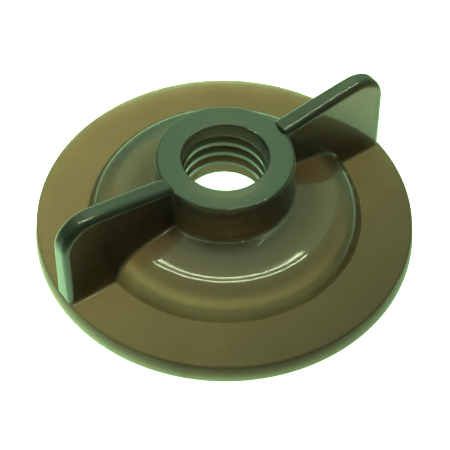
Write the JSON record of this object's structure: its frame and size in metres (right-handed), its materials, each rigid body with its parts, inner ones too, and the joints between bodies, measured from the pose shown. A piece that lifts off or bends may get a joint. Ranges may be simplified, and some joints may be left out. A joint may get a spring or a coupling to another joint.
{
  "type": "wing nut",
  "caption": "Moulded plastic wing nut with a wide flat flange, a dome over a shallow hollow, a threaded hub and two upright wings.",
  "frame": {"origin": "centre of the seating face, on the thread axis", "axes": "+Z along the thread axis, away from the clamped part; X along the two wings"},
  "size_m": [0.0404, 0.0404, 0.0129],
  "materials": {
    "translucent_plastic": "glossy, dark olive, translucent where it is thin"
  },
  "bodies": {
    "root": {"flange_disc": "translucent_plastic", "dome_ring": "translucent_plastic", "hub_collar": "translucent_plastic", "thread_liner": "translucent_plastic", "right_wing": "translucent_plastic", "left_wing": "translucent_plastic"}
  },
  "joints": []
}
